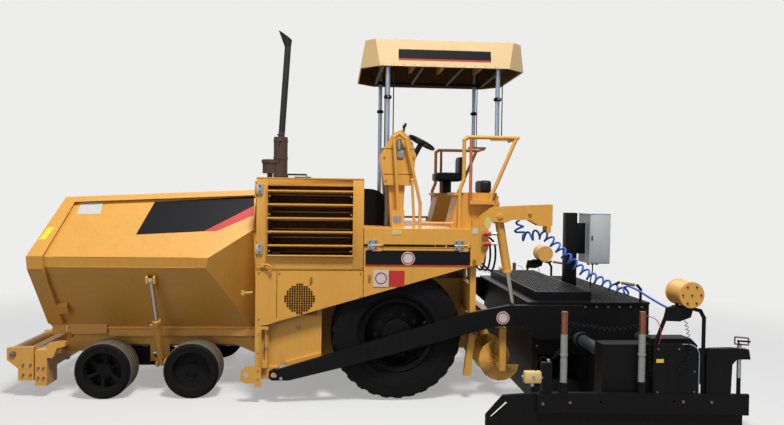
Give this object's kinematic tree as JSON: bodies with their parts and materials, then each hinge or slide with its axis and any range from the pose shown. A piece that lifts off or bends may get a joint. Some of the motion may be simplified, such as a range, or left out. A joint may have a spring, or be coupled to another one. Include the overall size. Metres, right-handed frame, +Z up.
{
  "type": "asphalt paver",
  "caption": "Wheeled asphalt paver with a folding hopper in front, an engine house, a canopied operator's deck and a lifting screed with sliding extensions.",
  "frame": {"origin": "middle of the whole machine in plan, on the ground under its wheels and screed", "axes": "+X from the hopper back to the screed, +Y to the machine's right side, +Z up"},
  "size_m": [6.9619, 4.642, 4.0297],
  "materials": {
    "yellow_paint": "worn satin",
    "black_paint": "worn matte",
    "tyre": "dusty",
    "rod_chrome": "polished",
    "bare_steel": "worn",
    "engine_iron": "rough",
    "burnt_steel": "rusty",
    "cream_paint": "faded satin",
    "grey_paint": "satin",
    "galvanised": "dull zinc",
    "seat_cover": "matte"
  },
  "bodies": {
    "chassis": {"chassis_frame": "yellow_paint", "cross_members": "yellow_paint", "side_brackets": "yellow_paint", "side_panels": "yellow_paint", "drive_axle": "black_paint", "bogie_beams": "black_paint", "conveyor": "bare_steel", "push_beam": "yellow_paint", "engine_house": "yellow_paint", "engine_block": "engine_iron", "exhaust_stack": "burnt_steel", "operator_deck": "yellow_paint", "control_console": "yellow_paint", "seats": "seat_cover", "station_frames": "yellow_paint", "canopy_roof": "cream_paint", "canopy_posts": "galvanised", "lift_brackets": "yellow_paint", "auger_hangers": "yellow_paint", "hood_cover": "black_paint"},
    "drive_wheel_left": {"drive_tyre_left": "tyre", "drive_rim_left": "black_paint"},
    "knuckle_1_left": {"knuckle_1_left": "black_paint"},
    "front_wheel_1_left": {"front_wheel_1_left": "tyre"},
    "knuckle_2_left": {"knuckle_2_left": "black_paint"},
    "front_wheel_2_left": {"front_wheel_2_left": "tyre"},
    "wing_left": {"hopper_wing_left": "yellow_paint"},
    "wing_barrel_left": {"wing_barrel_left": "yellow_paint"},
    "wing_rod_left": {"wing_rod_left": "rod_chrome"},
    "push_roller_left": {"push_roller_left": "yellow_paint"},
    "louvre_door_left": {"louvre_door_left": "yellow_paint"},
    "service_door_left": {"service_door_left": "yellow_paint"},
    "lift_barrel_left": {"lift_barrel_left": "yellow_paint"},
    "lift_rod_left": {"lift_rod_left": "rod_chrome"},
    "auger_left": {"auger_left": "yellow_paint"},
    "extension_left": {"extension_left": "black_paint", "end_gate_left": "black_paint"},
    "drive_wheel_right": {"drive_tyre_right": "tyre", "drive_rim_right": "black_paint"},
    "knuckle_1_right": {"knuckle_1_right": "black_paint"},
    "front_wheel_1_right": {"front_wheel_1_right": "tyre"},
    "knuckle_2_right": {"knuckle_2_right": "black_paint"},
    "front_wheel_2_right": {"front_wheel_2_right": "tyre"},
    "wing_right": {"hopper_wing_right": "yellow_paint"},
    "wing_barrel_right": {"wing_barrel_right": "yellow_paint"},
    "wing_rod_right": {"wing_rod_right": "rod_chrome"},
    "push_roller_right": {"push_roller_right": "yellow_paint"},
    "louvre_door_right": {"louvre_door_right": "yellow_paint"},
    "service_door_right": {"service_door_right": "yellow_paint"},
    "lift_barrel_right": {"lift_barrel_right": "yellow_paint"},
    "lift_rod_right": {"lift_rod_right": "rod_chrome"},
    "auger_right": {"auger_right": "yellow_paint"},
    "extension_right": {"extension_right": "black_paint", "end_gate_right": "black_paint"},
    "screed": {"tow_arms": "black_paint", "screed_frame": "black_paint", "screed_walkway": "black_paint", "control_cabinet": "grey_paint"}
  },
  "joints": [
    {"name": "drive_spin_left", "type": "hinge", "parent": "chassis", "child": "drive_wheel_left", "pos_m": [0.42, -1.01, 0.67], "axis": [0, 1, 0], "continuous": true},
    {"name": "steer_1_left", "type": "hinge", "parent": "chassis", "child": "knuckle_1_left", "pos_m": [-2.515, -0.68, 0.28], "axis": [0, 0, 1], "range_deg": [-20, 20]},
    {"name": "front_spin_1_left", "type": "hinge", "parent": "knuckle_1_left", "child": "front_wheel_1_left", "pos_m": [-2.515, -0.9, 0.28], "axis": [0, 1, 0], "continuous": true},
    {"name": "steer_2_left", "type": "hinge", "parent": "chassis", "child": "knuckle_2_left", "pos_m": [-1.645, -0.68, 0.28], "axis": [0, 0, 1], "range_deg": [-12, 12]},
    {"name": "front_spin_2_left", "type": "hinge", "parent": "knuckle_2_left", "child": "front_wheel_2_left", "pos_m": [-1.645, -0.9, 0.28], "axis": [0, 1, 0], "continuous": true},
    {"name": "wing_fold_left", "type": "hinge", "parent": "chassis", "child": "wing_left", "pos_m": [-2.01, -0.672, 0.65], "axis": [1, 0, 0], "range_deg": [0, 38]},
    {"name": "wing_barrel_swing_left", "type": "hinge", "parent": "chassis", "child": "wing_barrel_left", "pos_m": [-2.01, -0.74, 0.3], "axis": [1, 0, 0], "range_deg": [0, 30]},
    {"name": "wing_rod_stroke_left", "type": "slide", "parent": "wing_barrel_left", "child": "wing_rod_left", "axis": [0, -0.4453, 0.8954], "range_m": [-0.185, 0]},
    {"name": "roller_spin_left", "type": "hinge", "parent": "chassis", "child": "push_roller_left", "pos_m": [-3.42, -0.46, 0.44], "axis": [0, 1, 0], "continuous": true},
    {"name": "louvre_door_left_swing", "type": "hinge", "parent": "chassis", "child": "louvre_door_left", "pos_m": [-0.992, -1.26, 1.785], "axis": [0, 0, 1], "range_deg": [-90, 0]},
    {"name": "service_door_left_swing", "type": "hinge", "parent": "chassis", "child": "service_door_left", "pos_m": [0.62, -1.262, 1.582], "axis": [1, 0, 0], "range_deg": [-85, 0]},
    {"name": "lift_barrel_swing_left", "type": "hinge", "parent": "chassis", "child": "lift_barrel_left", "pos_m": [1.44, -1.18, 1.885], "axis": [0, 1, 0], "range_deg": [0, 3]},
    {"name": "lift_rod_stroke_left", "type": "slide", "parent": "lift_barrel_left", "child": "lift_rod_left", "axis": [0.1761, 0, -0.9844], "range_m": [-0.27, 0]},
    {"name": "auger_spin_left", "type": "hinge", "parent": "chassis", "child": "auger_left", "pos_m": [1.51, -0.595, 0.34], "axis": [0, 1, 0], "continuous": true},
    {"name": "drive_spin_right", "type": "hinge", "parent": "chassis", "child": "drive_wheel_right", "pos_m": [0.42, 1.01, 0.67], "axis": [0, 1, 0], "continuous": true},
    {"name": "steer_1_right", "type": "hinge", "parent": "chassis", "child": "knuckle_1_right", "pos_m": [-2.515, 0.68, 0.28], "axis": [0, 0, 1], "range_deg": [-20, 20]},
    {"name": "front_spin_1_right", "type": "hinge", "parent": "knuckle_1_right", "child": "front_wheel_1_right", "pos_m": [-2.515, 0.9, 0.28], "axis": [0, 1, 0], "continuous": true},
    {"name": "steer_2_right", "type": "hinge", "parent": "chassis", "child": "knuckle_2_right", "pos_m": [-1.645, 0.68, 0.28], "axis": [0, 0, 1], "range_deg": [-12, 12]},
    {"name": "front_spin_2_right", "type": "hinge", "parent": "knuckle_2_right", "child": "front_wheel_2_right", "pos_m": [-1.645, 0.9, 0.28], "axis": [0, 1, 0], "continuous": true},
    {"name": "wing_fold_right", "type": "hinge", "parent": "chassis", "child": "wing_right", "pos_m": [-2.01, 0.672, 0.65], "axis": [-1, 0, 0], "range_deg": [0, 38]},
    {"name": "wing_barrel_swing_right", "type": "hinge", "parent": "chassis", "child": "wing_barrel_right", "pos_m": [-2.01, 0.74, 0.3], "axis": [-1, 0, 0], "range_deg": [0, 30]},
    {"name": "wing_rod_stroke_right", "type": "slide", "parent": "wing_barrel_right", "child": "wing_rod_right", "axis": [0, 0.4453, 0.8954], "range_m": [-0.185, 0]},
    {"name": "roller_spin_right", "type": "hinge", "parent": "chassis", "child": "push_roller_right", "pos_m": [-3.42, 0.46, 0.44], "axis": [0, 1, 0], "continuous": true},
    {"name": "louvre_door_right_swing", "type": "hinge", "parent": "chassis", "child": "louvre_door_right", "pos_m": [-0.992, 1.26, 1.785], "axis": [0, 0, 1], "range_deg": [0, 90]},
    {"name": "service_door_right_swing", "type": "hinge", "parent": "chassis", "child": "service_door_right", "pos_m": [0.62, 1.262, 1.582], "axis": [1, 0, 0], "range_deg": [0, 85]},
    {"name": "lift_barrel_swing_right", "type": "hinge", "parent": "chassis", "child": "lift_barrel_right", "pos_m": [1.44, 1.18, 1.885], "axis": [0, 1, 0], "range_deg": [0, 3]},
    {"name": "lift_rod_stroke_right", "type": "slide", "parent": "lift_barrel_right", "child": "lift_rod_right", "axis": [0.1761, 0, -0.9844], "range_m": [-0.27, 0]},
    {"name": "auger_spin_right", "type": "hinge", "parent": "chassis", "child": "auger_right", "pos_m": [1.51, 0.595, 0.34], "axis": [0, 1, 0], "continuous": true},
    {"name": "screed_lift", "type": "hinge", "parent": "chassis", "child": "screed", "pos_m": [-0.805, 0, 0.292], "axis": [0, -1, 0], "range_deg": [0, 6]},
    {"name": "extension_left_slide", "type": "slide", "parent": "screed", "child": "extension_left", "axis": [0, -1, 0], "range_m": [-0.65, 0.2]},
    {"name": "extension_right_slide", "type": "slide", "parent": "screed", "child": "extension_right", "axis": [0, 1, 0], "range_m": [-0.65, 0.2]}
  ],
  "couplings": [
    {"joint": "steer_2_left", "follows": "steer_1_left", "ratio": 0.6},
    {"joint": "wing_barrel_swing_left", "follows": "wing_fold_left", "ratio": 0.7567},
    {"joint": "wing_rod_stroke_left", "follows": "wing_fold_left", "m_per_rad": -0.2685},
    {"joint": "lift_barrel_swing_left", "follows": "screed_lift", "ratio": 0.4203},
    {"joint": "lift_rod_stroke_left", "follows": "screed_lift", "m_per_rad": -2.4667},
    {"joint": "steer_1_right", "follows": "steer_1_left", "ratio": 1},
    {"joint": "steer_2_right", "follows": "steer_1_left", "ratio": 0.6},
    {"joint": "wing_barrel_swing_right", "follows": "wing_fold_right", "ratio": 0.7567},
    {"joint": "wing_rod_stroke_right", "follows": "wing_fold_right", "m_per_rad": -0.2685},
    {"joint": "lift_barrel_swing_right", "follows": "screed_lift", "ratio": 0.4203},
    {"joint": "lift_rod_stroke_right", "follows": "screed_lift", "m_per_rad": -2.4667}
  ]
}
